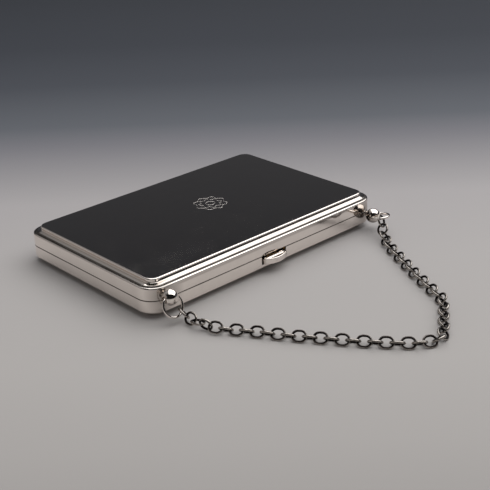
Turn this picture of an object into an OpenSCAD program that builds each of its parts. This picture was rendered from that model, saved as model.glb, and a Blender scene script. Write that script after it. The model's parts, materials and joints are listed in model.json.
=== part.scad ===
// Slim card case of two hinged trays, with a thumb-piece clasp and a wrist chain on two balls.
// Origin: middle of the flat underside. +X along the case, -Y towards the clasp, +Z up.

/* [Case] */
// Length of the closed case, wall to wall
case_l = 95; // [85:1:110]
// Width of the closed case, wall to wall
case_w = 63; // [55:1:75]
// Height of each half, from the seam to its raised panel
half_h = 5.8; // [5.4:0.1:7]
// Height of each half's wall, from the seam to the top of its rounded edge
wall_h = 4.0; // [3.8:0.1:4.3]
// Radius of the corners, seen from above
corner_r = 5.7; // [5:0.1:8]
// Thickness of the silver sheet
sheet_t = 0.8; // [0.7:0.05:0.9]

/* [Border moulding] */
// Radius of the rounded edge at the top of the wall
edge_r = 0.45; // [0.3:0.05:0.6]
// Distance from the wall to the small step
step_in = 0.72; // [0.65:0.02:0.9]
// Height of the small step
step_h = 0.32; // [0.2:0.02:0.4]
// Radius on the top of the small step
step_r = 0.16; // [0.08:0.02:0.2]
// Rise of the border's flat band towards the panel
band_rise = 0.24; // [0.1:0.02:0.4]
// Radius of the hollow at the foot of the panel
cove_r = 0.22; // [0.1:0.02:0.3]
// Distance from the wall to the edge of the flat panel
panel_in = 2.9; // [2.6:0.1:3.4]
// Radius on the edge of the flat panel
panel_r = 0.38; // [0.2:0.02:0.5]

/* [Bezel] */
// Thickness of the bezel strip
bezel_t = 0.45; // [0.35:0.05:0.6]
// Height that the bezel stands above the seam
bezel_up = 1.5; // [1.2:0.1:1.9]
// Depth that the bezel is soldered below the seam
bezel_down = 2.5; // [2:0.1:2.8]
// Gap between the bezel and the lid's wall
bezel_gap = 0.12; // [0.1:0.01:0.2]

/* [Hinge] */
// Length of the hinge
hinge_l = 78; // [60:1:80]
// Outer radius of the knuckles
knuckle_r = 0.75; // [0.65:0.05:0.8]
// Radius of the hinge pin
pin_r = 0.35; // [0.3:0.05:0.4]
// Running clearance around the hinge pin
pin_gap = 0.03; // [0.02:0.01:0.05]
// Gap between two knuckles
knuckle_gap = 0.12; // [0.08:0.02:0.3]
// Clearance of each wall around the other half's knuckles
gutter_gap = 0.12; // [0.08:0.02:0.2]
// Length that the pin stands out of the knuckles at each end
pin_out = 0.3; // [0.1:0.1:0.6]

/* [Clasp] */
// Distance of the clasp to the right of the front wall's middle
clasp_x = 0.6; // [-2:0.1:2]
// Width of the thumb-piece
thumb_w = 9.4; // [8:0.1:11]
// Height of the thumb-piece
thumb_h = 1.9; // [1.7:0.1:2.1]
// Distance that the thumb-piece stands out of the wall
thumb_out = 2.6; // [2:0.1:2.8]
// Length of the thumb-piece's straight sides, out from the wall
thumb_side = 0.9; // [0.4:0.1:1.2]
// Gap below the thumb-piece in its notch
notch_gap = 0.2; // [0.15:0.05:0.3]
// Gap at each side of the thumb-piece in its notch
notch_side = 0.45; // [0.3:0.05:0.6]
// Gap between the top of the thumb-piece and the seam
thumb_drop = 0.7; // [0.6:0.05:0.8]
// Depth of the hollow in the top of the thumb-piece
dish_d = 0.5; // [0.3:0.05:0.8]
// Width of the rim round that hollow
dish_rim = 0.55; // [0.4:0.05:0.7]
// Travel of the thumb-piece when it is pressed
press_travel = 0.8; // [0.6:0.05:0.9]
// Width of the catch hook
hook_w = 5; // [4:0.5:7]
// Thickness of the catch hook
hook_t = 0.5; // [0.4:0.05:0.6]
// Distance that the hook's nose reaches over the keeper
hook_bite = 0.4; // [0.3:0.05:0.5]
// Width of the keeper on the lid
keeper_w = 7; // [5:0.5:9]
// Distance that the keeper stands out of the lid's wall
keeper_out = 0.5; // [0.4:0.05:0.6]
// Height of the keeper
keeper_h = 0.5; // [0.4:0.05:0.6]
// Thickness of the leaf spring
leaf_t = 0.25; // [0.2:0.05:0.3]
// Height of the leaf spring
leaf_h = 1.6; // [1.2:0.1:1.7]
// Distance from the middle of the clasp to the spring's rivets
leaf_l = 11; // [9.5:0.5:12.5]
// Radius of a rivet's head
rivet_r = 0.55; // [0.4:0.05:0.7]
// Thickness of the cover plate over the catch
cover_t = 0.3; // [0.25:0.05:0.4]
// Width of the cover plate
cover_w = 30; // [28:1:36]

/* [Ball fittings] */
// Radius of a ball
ball_r = 2.4; // [2.2:0.1:2.6]
// Distance from the case's wall to the middle of a ball
ball_out = 2.85; // [2.8:0.05:3.2]
// Distance from the case's left end to the left ball
left_in = 4.9; // [4.5:0.1:6]
// Height of the left ball above the seam
left_up = 1.82; // [1.6:0.02:2]
// Distance from the case's right end to the right ball
right_in = 4; // [4:0.1:6]
// Depth of the right ball below the seam
right_down = 0.8; // [0.78:0.02:1.2]
// Radius of a ball's peg
peg_r = 0.75; // [0.6:0.05:0.78]
// Depth that a peg enters its ball
peg_in = 1.0; // [0.6:0.1:1.1]
// Radius of the hole through a ball
hole_r = 1.04; // [1.02:0.01:1.06]

/* [Rings] */
// Radius of a ring, to the middle of its wire
ring_r = 3.2; // [3.1:0.05:3.4]
// Radius of a ring's wire
ring_wire_r = 0.4; // [0.36:0.01:0.4]
// Distance that a ring's wire lies off the middle of its ball
ring_lift = 0.53; // [0.5:0.01:0.56]
// Angle that the left ring hangs below level
left_hang = 65; // [60:1:70]
// Angle that the right ring is tipped above level
right_tip = 10; // [6:1:14]
// Place of the first link on the left ring, round from its right side
left_hold = 44; // [42:1:50]
// Place of the last link on the right ring, round from its right side
right_hold = 128; // [127:1:132]

/* [Chain] */
// Outer length of a link
link_l = 4.5; // [4.45:0.01:4.5]
// Outer width of a link
link_w = 3.95; // [3.85:0.05:3.95]
// Radius of a link's wire
link_wire_r = 0.35; // [0.33:0.01:0.35]
// Least slack between two links along the chain
link_slack = 0.16; // [0.14:0.02:0.2]
// Slack of the end links on their rings
end_slack = 0.25; // [0.2:0.05:0.5]
// Turn of each link about the chain, to one side and the other by turns
link_roll = 38; // [36:1:38]

/* [Hidden] */
$fn = 48;

silver = [0.80, 0.79, 0.77];
bright_silver = [0.88, 0.87, 0.85];
dark_silver = [0.36, 0.35, 0.34];
spring_steel = [0.55, 0.56, 0.58];
// Cuts run past the surfaces they open by this much
past = 0.1;
seam_z = half_h;
front_y = -case_w / 2;
back_y = case_w / 2;

// Points along an arc, from one angle to another
function arc(x, y, r, from, to, steps = 5) =
    [for (i = [0:steps]) let (a = from + (to - from) * i / steps) [x + r * cos(a), y + r * sin(a)]];

// Outline of a half's border: distance in from the wall, height above the seam
band_z = wall_h + step_h + band_rise;
riser_in = panel_in - panel_r;
border = concat(
    [[0, 0]],
    arc(edge_r, wall_h - edge_r, edge_r, 180, 90),
    [[step_in, wall_h]],
    arc(step_in + step_r, wall_h + step_h - step_r, step_r, 180, 90, 3),
    arc(riser_in - cove_r, band_z + cove_r, cove_r, 270, 360, 3),
    arc(panel_in, half_h - panel_r, panel_r, 180, 90)
);

// A closed outline swept round a rectangle with round corners; x is the distance in from its sides
module swept(l, w, r, outline) {
    for (turn = [0, 180]) rotate(turn) {
        translate([0, w / 2 - r, 0]) rotate([90, 0, 0]) linear_extrude(height = w - 2 * r)
            polygon([for (p = outline) [l / 2 - p.x, p.y]]);
        rotate(90) translate([0, l / 2 - r, 0]) rotate([90, 0, 0]) linear_extrude(height = l - 2 * r)
            polygon([for (p = outline) [w / 2 - p.x, p.y]]);
        translate([l / 2 - r, w / 2 - r, 0]) rotate_extrude(angle = 90)
            polygon([for (p = outline) [r - p.x, p.y]]);
        translate([l / 2 - r, r - w / 2, 0]) rotate(-90) rotate_extrude(angle = 90)
            polygon([for (p = outline) [r - p.x, p.y]]);
    }
}

// A solid tray form: the outline swept round, and filled to the height of its last point
module pad(l, w, r, outline) {
    low = outline[0].y;
    high = outline[len(outline) - 1].y;
    swept(l, w, r, concat([[r, low]], outline, [[r, high]]));
    translate([r - l / 2, r - w / 2, low]) cube([l - 2 * r, w - 2 * r, high - low]);
}

// A plain slab with round corners, drawn in from the case's sides
module slab(inset, low, high) {
    pad(case_l, case_w, corner_r, [[inset, low], [inset, high]]);
}

// One half of the case above its seam, hollow, with its border moulding
deep_in = panel_in + 0.4;
module tray() {
    difference() {
        pad(case_l, case_w, corner_r, border);
        slab(sheet_t, -past, wall_h - sheet_t);
        slab(deep_in, -past, half_h - sheet_t);
    }
}

// Hinge
knuckle_count = 5;
knuckle_l = (hinge_l - (knuckle_count - 1) * knuckle_gap) / knuckle_count;
function knuckle_x(i) = -hinge_l / 2 + i * (knuckle_l + knuckle_gap);
base_turns = [0, 2, 4];
lid_turns = [1, 3];

module barrel(x, l, r) {
    translate([x, back_y, seam_z]) rotate([0, 90, 0]) cylinder(h = l, r = r);
}

module knuckles(turns) {
    for (i = turns) difference() {
        barrel(knuckle_x(i), knuckle_l, knuckle_r);
        barrel(knuckle_x(i) - past, knuckle_l + 2 * past, pin_r + pin_gap);
    }
}

// Room in a wall for its own knuckles, soldered in, for the other half's, which turn in it,
// and for the pin's ends
module gutters(own, other) {
    barrel(-hinge_l / 2 - pin_out - gutter_gap, hinge_l + 2 * (pin_out + gutter_gap), pin_r + gutter_gap);
    for (i = own) barrel(knuckle_x(i), knuckle_l, knuckle_r);
    for (i = other) barrel(knuckle_x(i) - knuckle_gap, knuckle_l + 2 * knuckle_gap, knuckle_r + gutter_gap);
}

// Clasp
thumb_top = seam_z - thumb_drop;
thumb_low = thumb_top - thumb_h;
notch_w = thumb_w + 2 * notch_side;
notch_low = thumb_low - notch_gap;
bezel_in = sheet_t + bezel_t + bezel_gap;
bezel_y = front_y + bezel_in;
// Shoulders behind the bezel keep the thumb-piece from falling out
shoulder_t = 0.5;
shoulder_w = notch_w + 2;
cover_gap = 0.25;
thumb_back = bezel_y + shoulder_t;
keeper_up = 0.35;
keeper_z = seam_z + keeper_up;
catch_gap = 0.1;
hook_z = keeper_z + keeper_h + catch_gap;
keeper_y = front_y + sheet_t + keeper_out;
hook_top_t = 0.45;
keeper_gap = 0.7;
hook_y = thumb_back - hook_t;
cover_y = thumb_back + press_travel + leaf_t + cover_gap;

module at_clasp() {
    translate([clasp_x, 0, 0]) children();
}

module notch(w, low) {
    at_clasp() translate([-w / 2, front_y - past, low])
        cube([w, bezel_in + 2 * past, seam_z + bezel_up + past - low]);
}

// Thumb-piece: a round-nosed plate, hollowed on top behind a rim, with shoulders inside the wall
nose_out = thumb_out - thumb_side;
nose_r = (thumb_w * thumb_w / 4 + nose_out * nose_out) / (2 * nose_out);
module nose(inset, low, high) {
    intersection() {
        translate([0, front_y - thumb_out + nose_r, low])
            cylinder(h = high - low, r = nose_r - inset, $fn = 96);
        translate([inset - thumb_w / 2, front_y - thumb_out, low])
            cube([thumb_w - 2 * inset, thumb_out + past, high - low]);
    }
}

module thumb_piece() {
    color(bright_silver) at_clasp() difference() {
        union() {
            nose(0, thumb_low, thumb_top);
            translate([-thumb_w / 2, front_y, thumb_low]) cube([thumb_w, bezel_in + past, thumb_h]);
            translate([-shoulder_w / 2, bezel_y, thumb_low]) cube([shoulder_w, shoulder_t, thumb_h]);
        }
        nose(dish_rim, thumb_top - dish_d, thumb_top + past);
    }
}

module catch_hook() {
    color(spring_steel) at_clasp() translate([-hook_w / 2, 0, 0]) {
        translate([0, hook_y, thumb_top]) cube([hook_w, hook_t, hook_z + hook_top_t - thumb_top]);
        translate([0, keeper_y - hook_bite, hook_z])
            cube([hook_w, hook_y - keeper_y + hook_bite + past, hook_top_t]);
    }
}

module lid_keeper() {
    color(silver) at_clasp() translate([-keeper_w / 2, front_y + sheet_t, keeper_z])
        cube([keeper_w, keeper_out, keeper_h]);
}

// Leaf spring: flat on the bezel at its rivets, then bowed in behind the thumb-piece
leaf_low = thumb_low + (thumb_h - leaf_h) / 2;
leaf_foot = 3;
leaf_bow = shoulder_w / 2 + 0.3;
leaf_tip = 4;
leaf_line = [
    [-leaf_l - leaf_foot / 2, bezel_y], [-leaf_l + leaf_foot / 2, bezel_y],
    [-leaf_bow, thumb_back], [leaf_tip, thumb_back],
    [leaf_tip, thumb_back + leaf_t], [-leaf_bow, thumb_back + leaf_t],
    [-leaf_l + leaf_foot / 2, bezel_y + leaf_t], [-leaf_l - leaf_foot / 2, bezel_y + leaf_t]
];
module catch_spring() {
    color(spring_steel) difference() {
        at_clasp() translate([0, 0, leaf_low]) linear_extrude(height = leaf_h) polygon(leaf_line);
        at_rivets(bezel_y - past) cylinder(h = leaf_t + 2 * past, r = shank_r);
    }
}

rivet_gap = 1.5;
rivet_head = 0.25;
shank_r = 0.25;
module at_rivets(y) {
    for (side = [-1, 1]) at_clasp() translate([-leaf_l + side * rivet_gap / 2, y, leaf_low + leaf_h / 2])
        rotate([-90, 0, 0]) children();
}

module rivet_shanks() {
    at_rivets(bezel_y - bezel_t) cylinder(h = bezel_t + leaf_t, r = shank_r);
}

module spring_rivets() {
    color(silver) {
        rivet_shanks();
        at_rivets(bezel_y + leaf_t) cylinder(h = rivet_head, r = rivet_r);
    }
}

// Cover plate: a shallow box of sheet round the catch, soldered to the bezel
module catch_cover() {
    color(silver) at_clasp() difference() {
        translate([-cover_w / 2, bezel_y, notch_low])
            cube([cover_w, cover_y + cover_t - bezel_y, seam_z - notch_low]);
        translate([-cover_w / 2 + cover_t, bezel_y - past, notch_low - past])
            cube([cover_w - 2 * cover_t, cover_y - bezel_y + past, seam_z - notch_low + 2 * past]);
    }
}

module bezel() {
    outline = [
        [sheet_t, -bezel_down], [sheet_t, 0], [sheet_t + bezel_gap, 0], [sheet_t + bezel_gap, bezel_up],
        [bezel_in, bezel_up], [bezel_in, -bezel_down]
    ];
    color(silver) difference() {
        translate([0, 0, seam_z]) swept(case_l, case_w, corner_r, outline);
        notch(notch_w, notch_low);
        notch(keeper_w + 2 * keeper_gap, seam_z);
        gutters([], concat(base_turns, lid_turns));
        rivet_shanks();
    }
}

// Ball fittings
left_ball_at = [left_in - case_l / 2, front_y - ball_out, seam_z + left_up];
right_ball_at = [case_l / 2 - right_in, front_y - ball_out, seam_z - right_down];
// The chain swings about the line through both balls
swing_tilt = atan2(left_ball_at.z - right_ball_at.z, right_ball_at.x - left_ball_at.x);

module peg(at) {
    color(bright_silver) translate([at.x, at.y + ball_r - peg_in, at.z]) rotate([-90, 0, 0])
        cylinder(h = front_y + sheet_t - past - at.y - ball_r + peg_in, r = peg_r);
}

module ball(at) {
    color(bright_silver) difference() {
        translate(at) rotate(-90) sphere(r = ball_r, $fn = 96);
        translate(at) rotate([0, 90 + swing_tilt, 0])
            cylinder(h = 2 * (ball_r + past), r = hole_r, center = true);
        translate([at.x, at.y + ball_r - peg_in, at.z]) rotate([-90, 0, 0]) cylinder(h = ball_r, r = peg_r);
    }
}

// The left ball's hole is open below, so that the lid's ball lifts off the ring
module left_ball() {
    difference() {
        ball(left_ball_at);
        translate(left_ball_at) rotate([0, swing_tilt, 0])
            translate([-ball_r - past, -hole_r, -ball_r - past])
            cube([2 * (ball_r + past), 2 * hole_r, ball_r + past]);
    }
}

// Rings and chain
module torus(r, wire) {
    rotate_extrude() translate([r, 0]) circle(r = wire, $fn = 32);
}

module ring(at, turn) {
    color(bright_silver) translate(at) rotate([0, swing_tilt, 0]) rotate([turn, 0, 0])
        translate([0, ring_lift - ring_r, 0]) torus(ring_r, ring_wire_r);
}

// A point on a ring's wire, from its ball, its turn about the swing line and its place round the ring
function on_ring(at, turn, place) =
    let (u = ring_r * cos(place), v = ring_lift - ring_r * (1 + sin(place)))
    let (y = v * cos(turn), z = v * sin(turn))
    at + [u * cos(swing_tilt) + z * sin(swing_tilt), y, -u * sin(swing_tilt) + z * cos(swing_tilt)];

// The chain's route, chosen by hand: out from the left ring, down on the table, round and up to the
// right ring. Each point is a share of the case's half length, a distance in front of the case and,
// where it isn't flat, a height.
link_mid_r = link_w / 2 - link_wire_r;
link_mid_l = link_l / 2 - link_wire_r;
lie_z = link_mid_r * sin(link_roll) + link_wire_r;
route_points = [
    [-0.85, 6.7, 2.2], [-0.848, 8.7, 2], [-0.846, 11.2, 1.9], [-0.838, 14.2, 2.15], [-0.808, 17.2, 1.7],
    [-0.77, 19.5], [-0.736, 21.8], [-0.673, 26.5], [-0.576, 34.2], [-0.467, 41.9], [-0.361, 49.3],
    [-0.285, 54.1], [-0.211, 58.5], [-0.165, 60.8], [-0.12, 62.6], [-0.075, 63.8], [-0.028, 64.3],
    [0.022, 63.8], [0.074, 62.3], [0.125, 60.4], [0.226, 56.7], [0.322, 53.1], [0.361, 51.2],
    [0.388, 48.8], [0.409, 46.6], [0.513, 36.2], [0.628, 26], [0.733, 16.8, 1.38], [0.804, 12.1, 2.2],
    [0.848, 9.5, 4]
];
route = concat(
    [on_ring(left_ball_at, left_hang, left_hold)],
    [for (p = route_points) [p.x * case_l / 2, front_y - p.y, is_undef(p.z) ? lie_z : p.z]],
    [on_ring(right_ball_at, -right_tip, right_hold)]
);
// Length of the route up to each of its points
run = [for (i = 0, s = 0; i < len(route); i = i + 1,
    s = i < len(route) ? s + norm(route[i] - route[i - 1]) : s) s];
route_l = run[len(run) - 1];

// The point a given length along the route
function leg(s, i = 0) = i >= len(route) - 2 || run[i + 1] >= s ? i : leg(s, i + 1);
function along(s) =
    let (i = leg(s)) route[i] + (route[i + 1] - route[i]) * (s - run[i]) / (run[i + 1] - run[i]);

end_gap = link_mid_l - link_wire_r - ring_wire_r - end_slack;
taut_pitch = 2 * (link_mid_l - link_wire_r) - link_slack;
link_count = ceil((route_l - 2 * end_gap) / taut_pitch) + 1;
pitch = (route_l - 2 * end_gap) / (link_count - 1);

// The chain is twisted half round in its first links, and its last link stands steeper on the ring
first_rolls = [-45, 57, -10, 104];
last_roll = 50;
function roll(i) = i < len(first_rolls) ? first_rolls[i]
    : (i % 2 == 0 ? 1 : -1) * (i == link_count - 1 ? last_roll : link_roll);

// One link of cable chain: two half rings of wire joined by short straights
link_flat = link_l - link_w;
module wire_link() {
    for (turn = [0, 180]) rotate(turn) {
        translate([link_flat / 2, 0, 0]) rotate(-90) rotate_extrude(angle = 180)
            translate([link_mid_r, 0]) circle(r = link_wire_r, $fn = 32);
        translate([-link_flat / 2, link_mid_r, 0]) rotate([0, 90, 0])
            cylinder(h = link_flat, r = link_wire_r, $fn = 32);
    }
}

// A link in its place: the run of the route and the link's roll set how it stands
module link(i) {
    s = end_gap + i * pitch;
    way = along(min(s + pitch / 2, route_l)) - along(max(s - pitch / 2, 0));
    heading = atan2(way.y, way.x);
    climb = asin(way.z / norm(way));
    translate(along(s)) rotate([0, 0, heading]) rotate([0, -climb, 0]) rotate([roll(i), 0, 0]) wire_link();
}

// The chain's nodes share its links as evenly as whole links allow
chain_nodes = 14;
function first_link(group) = floor((group - 1) * link_count / chain_nodes);
module chain_links(group) {
    color(dark_silver) for (i = [first_link(group) : first_link(group + 1) - 1]) link(i);
}

module base_shell() {
    color(silver) difference() {
        translate([0, 0, seam_z]) mirror([0, 0, 1]) tray();
        notch(notch_w, notch_low);
        gutters(base_turns, lid_turns);
        peg_hole(right_ball_at);
    }
}

module lid_shell() {
    color(silver) difference() {
        translate([0, 0, seam_z]) tray();
        gutters(lid_turns, base_turns);
        peg_hole(left_ball_at);
    }
}

module peg_hole(at) {
    translate([at.x, at.y, at.z]) rotate([-90, 0, 0])
        cylinder(h = front_y + sheet_t - past - at.y, r = peg_r);
}

module hinge_pin() {
    color(bright_silver) barrel(-hinge_l / 2 - pin_out, hinge_l + 2 * pin_out, pin_r);
}

base_shell();
bezel();
color(silver) knuckles(base_turns);  // base_knuckles
hinge_pin();
catch_cover();
catch_spring();
spring_rivets();
peg(right_ball_at);  // right_peg
ball(right_ball_at);  // right_ball
lid_shell();
color(silver) knuckles(lid_turns);  // lid_knuckles
lid_keeper();
peg(left_ball_at);  // left_peg
left_ball();
thumb_piece();
catch_hook();
ring(left_ball_at, left_hang);  // left_ring
ring(right_ball_at, -right_tip);  // right_ring
chain_links(1);  // chain_links_01
chain_links(2);  // chain_links_02
chain_links(3);  // chain_links_03
chain_links(4);  // chain_links_04
chain_links(5);  // chain_links_05
chain_links(6);  // chain_links_06
chain_links(7);  // chain_links_07
chain_links(8);  // chain_links_08
chain_links(9);  // chain_links_09
chain_links(10);  // chain_links_10
chain_links(11);  // chain_links_11
chain_links(12);  // chain_links_12
chain_links(13);  // chain_links_13
chain_links(14);  // chain_links_14
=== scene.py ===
import json
import math

import bmesh
import bpy
from bpy.props import FloatProperty, FloatVectorProperty, IntProperty, PointerProperty
from mathutils import Matrix, Vector

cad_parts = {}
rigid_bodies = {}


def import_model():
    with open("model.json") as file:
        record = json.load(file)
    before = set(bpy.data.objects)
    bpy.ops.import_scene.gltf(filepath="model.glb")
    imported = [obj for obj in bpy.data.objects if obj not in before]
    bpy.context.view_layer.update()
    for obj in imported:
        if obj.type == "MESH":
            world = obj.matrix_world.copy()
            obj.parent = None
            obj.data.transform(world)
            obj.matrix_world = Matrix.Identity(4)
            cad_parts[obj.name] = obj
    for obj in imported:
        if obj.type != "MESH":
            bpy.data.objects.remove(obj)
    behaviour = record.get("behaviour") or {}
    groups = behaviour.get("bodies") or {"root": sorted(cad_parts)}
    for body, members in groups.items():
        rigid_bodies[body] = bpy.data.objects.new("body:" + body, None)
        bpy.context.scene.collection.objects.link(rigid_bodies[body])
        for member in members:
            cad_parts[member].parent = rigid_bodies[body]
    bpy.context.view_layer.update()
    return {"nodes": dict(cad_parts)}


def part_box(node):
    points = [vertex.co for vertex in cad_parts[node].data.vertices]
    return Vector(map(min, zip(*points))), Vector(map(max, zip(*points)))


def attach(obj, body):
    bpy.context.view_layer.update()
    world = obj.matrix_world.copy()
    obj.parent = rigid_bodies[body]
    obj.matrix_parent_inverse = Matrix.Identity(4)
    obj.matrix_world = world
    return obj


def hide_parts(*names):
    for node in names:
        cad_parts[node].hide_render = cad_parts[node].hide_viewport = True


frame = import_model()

bl_info = {
    "name": "Card case on a wrist chain",
    "version": (1, 0, 0),
    "blender": (4, 5, 0),
    "location": "View3D > Sidebar > Card case",
    "description": "Builds a slim silver case for visiting cards, with its clasp, ball fittings and chain",
    "category": "Add Mesh",
}

MM = 0.001
# Points closer than this, in metres, count as one place
TOUCH = 1e-6


# Small helpers for values, selections and finished pieces


def linear(colour):
    """The linear RGBA of an sRGB hex colour."""
    parts = [int(colour[i:i + 2], 16) / 255 for i in (0, 2, 4)]
    return tuple(c / 12.92 if c <= 0.04045 else ((c + 0.055) / 1.055) ** 2.4 for c in parts) + (1.0,)


def add(tree, kind, inputs=None, **settings):
    """Adds a node with its settings. An input that is a node or a socket is linked, and any other is set."""
    node = tree.nodes.new(kind)
    for name, value in settings.items():
        setattr(node, name, value)
    for key, value in (inputs or {}).items():
        if isinstance(value, bpy.types.Node):
            value = value.outputs[0]
        if isinstance(value, bpy.types.NodeSocket):
            tree.links.new(value, node.inputs[key])
        else:
            node.inputs[key].default_value = value
    return node


def same(a, b):
    """Whether two measures in metres are one."""
    return abs(a - b) < TOUCH


def deselect():
    """Leaves edit mode and deselects everything, the CAD's own pieces too."""
    if bpy.context.object and bpy.context.object.mode != "OBJECT":
        bpy.ops.object.mode_set(mode="OBJECT")
    bpy.ops.object.select_all(action="DESELECT")


def edit(kind):
    """Opens edit mode for faces or edges, with nothing selected."""
    bpy.ops.object.mode_set(mode="EDIT")
    bpy.ops.mesh.select_mode(type=kind)
    bpy.ops.mesh.select_all(action="DESELECT")


def pick_faces(test):
    """Selects the faces of the mesh in edit mode that pass a test of their middle and normal."""
    mesh = bmesh.from_edit_mesh(bpy.context.object.data)
    for face in mesh.faces:
        face.select_set(test(face.calc_center_median(), face.normal))
    mesh.select_flush_mode()
    bmesh.update_edit_mesh(bpy.context.object.data)


def pick_edges(test):
    """Selects the edges of the mesh in edit mode whose two ends pass a test."""
    mesh = bmesh.from_edit_mesh(bpy.context.object.data)
    for edge in mesh.edges:
        edge.select_set(test(edge.verts[0].co, edge.verts[1].co))
    mesh.select_flush_mode()
    bmesh.update_edit_mesh(bpy.context.object.data)


def extrude(y=0.0, z=0.0):
    bpy.ops.mesh.extrude_region_move(TRANSFORM_OT_translate={"value": (0, y, z)})


def inset(thickness, depth=0.0):
    bpy.ops.mesh.inset(thickness=thickness, depth=depth, use_even_offset=True)


def bevel(offset, segments):
    bpy.ops.mesh.bevel(offset=offset, segments=segments, affect="EDGES")


def apply_modifier(piece, kind, **settings):
    modifier = piece.modifiers.new(kind.title(), kind)
    for name, value in settings.items():
        setattr(modifier, name, value)
    bpy.context.view_layer.objects.active = piece
    bpy.ops.object.modifier_apply(modifier=modifier.name)


def cut(piece, tool):
    """Cuts a tool out of a piece and takes the tool away."""
    deselect()
    piece.select_set(True)
    apply_modifier(piece, "BOOLEAN", object=tool, operation="DIFFERENCE", solver="EXACT")
    bpy.data.objects.remove(tool, do_unlink=True)


def join(name, pieces):
    """Makes one named piece of several."""
    deselect()
    for piece in pieces:
        piece.select_set(True)
    bpy.context.view_layer.objects.active = pieces[0]
    bpy.ops.object.join()
    pieces[0].name = name
    return pieces[0]


def place(piece, matrix=None):
    """Puts a piece's place into its mesh, so that its object stands at the origin."""
    deselect()
    piece.select_set(True)
    bpy.context.view_layer.objects.active = piece
    if matrix is not None:
        piece.matrix_world = matrix
    bpy.ops.object.transform_apply(location=True, rotation=True, scale=True)


def finish(piece, name, body, nodes, metals, angle=35, flats=True):
    """Smooths, names and paints a piece, and lets it ride on its body in place of its nodes.

    Its faces are smoothed where they meet below an angle in degrees, and its flats are kept flat.
    """
    place(piece)
    bpy.ops.object.shade_smooth_by_angle(angle=math.radians(angle))
    if flats:
        apply_modifier(piece, "WEIGHTED_NORMAL", keep_sharp=True)
    piece.name = name
    piece.data.name = name
    piece.data.materials.clear()
    for metal_name in metals:
        piece.data.materials.append(metal(metal_name))
    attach(piece, body)
    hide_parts(*nodes)


# Sizes and colours that can be changed


LID_LOW, LID_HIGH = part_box("lid_shell")
SEAM_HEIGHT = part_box("base_shell")[1].z
# Middles of the two balls
LEFT_BALL = Vector((-42.6, -34.35, 7.62)) * MM
RIGHT_BALL = Vector((43.5, -34.35, 5.0)) * MM


class CaseSizes(bpy.types.PropertyGroup):
    """Sizes of the two trays and the hinge."""

    length: FloatProperty(
        name="Length", description="Length of the closed case",
        default=LID_HIGH.x - LID_LOW.x, unit="LENGTH", precision=5)
    width: FloatProperty(
        name="Width", description="Width of the closed case",
        default=LID_HIGH.y - LID_LOW.y, unit="LENGTH", precision=5)
    seam: FloatProperty(
        name="Seam height", description="Height of the seam above the table",
        default=SEAM_HEIGHT, unit="LENGTH", precision=5)
    wall: FloatProperty(
        name="Wall height", description="Height of each half's wall",
        default=4.0 * MM, unit="LENGTH", precision=5)
    corner: FloatProperty(
        name="Corner radius", description="Radius of the corners, seen from above",
        default=5.7 * MM, unit="LENGTH", precision=5)
    sheet: FloatProperty(
        name="Sheet", description="Thickness of the silver sheet",
        default=0.8 * MM, unit="LENGTH", precision=5)
    panel_in: FloatProperty(
        name="Border", description="Distance from the wall to the flat panel",
        default=2.9 * MM, unit="LENGTH", precision=5)
    thumb: FloatProperty(
        name="Thumb-piece", description="Width of the thumb-piece",
        default=9.4 * MM, unit="LENGTH", precision=5)
    corner_steps: IntProperty(
        name="Corner steps", description="Faces round each corner",
        default=20, min=4, max=48)


class FittingSizes(bpy.types.PropertyGroup):
    """Sizes of the balls, rings and chain."""

    ball: FloatProperty(
        name="Ball radius", description="Radius of each ball",
        default=2.4 * MM, unit="LENGTH", precision=5)
    hole: FloatProperty(
        name="Ball hole", description="Radius of the hole through each ball",
        default=1.02 * MM, unit="LENGTH", precision=5)
    peg: FloatProperty(
        name="Peg radius", description="Radius of the peg behind each ball",
        default=0.75 * MM, unit="LENGTH", precision=5)
    ring: FloatProperty(
        name="Ring radius", description="Radius of a ring to the middle of its wire",
        default=3.2 * MM, unit="LENGTH", precision=5)
    ring_wire: FloatProperty(
        name="Ring wire", description="Radius of a ring's wire",
        default=0.4 * MM, unit="LENGTH", precision=5)
    ring_lift: FloatProperty(
        name="Ring lift", description="Distance of a ring's wire from the middle of its ball",
        default=0.53 * MM, unit="LENGTH", precision=5)
    link_length: FloatProperty(
        name="Link length", description="Outer length of a link",
        default=4.5 * MM, unit="LENGTH", precision=5)
    link_width: FloatProperty(
        name="Link width", description="Outer width of a link",
        default=3.95 * MM, unit="LENGTH", precision=5)
    link_wire: FloatProperty(
        name="Link wire", description="Radius of a link's wire",
        default=0.35 * MM, unit="LENGTH", precision=5)


class Finishes(bpy.types.PropertyGroup):
    """Colours of the metals and the stage."""

    silver: FloatVectorProperty(
        name="Silver", description="Colour of the polished silver",
        subtype="COLOR", size=4, default=linear("F8F0E9"), min=0, max=1)
    # The tarnish colour also paints the shade round and under the balls and below the lid's edge
    tarnish_and_shade: FloatVectorProperty(
        name="Tarnish", description="Colour of the film in the silver's hollows",
        subtype="COLOR", size=4, default=linear("4A443E"), min=0, max=1)
    chain: FloatVectorProperty(
        name="Chain", description="Colour of the chain where it is rubbed bright",
        subtype="COLOR", size=4, default=linear("D2CAC2"), min=0, max=1)
    oxide: FloatVectorProperty(
        name="Oxide", description="Colour of the chain where it is dark",
        subtype="COLOR", size=4, default=linear("262120"), min=0, max=1)
    gilding: FloatVectorProperty(
        name="Gilding", description="Colour of the gold wash inside the case",
        subtype="COLOR", size=4, default=linear("E3C07C"), min=0, max=1)
    floor: FloatVectorProperty(
        name="Floor", description="Colour of the floor round the case",
        subtype="COLOR", size=4, default=linear("B2AEAC"), min=0, max=1)


# Materials


def new_material(name):
    """An empty material and its node tree."""
    material = bpy.data.materials.new(name)
    material.use_nodes = True
    material.node_tree.nodes.clear()
    return material, material.node_tree


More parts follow.
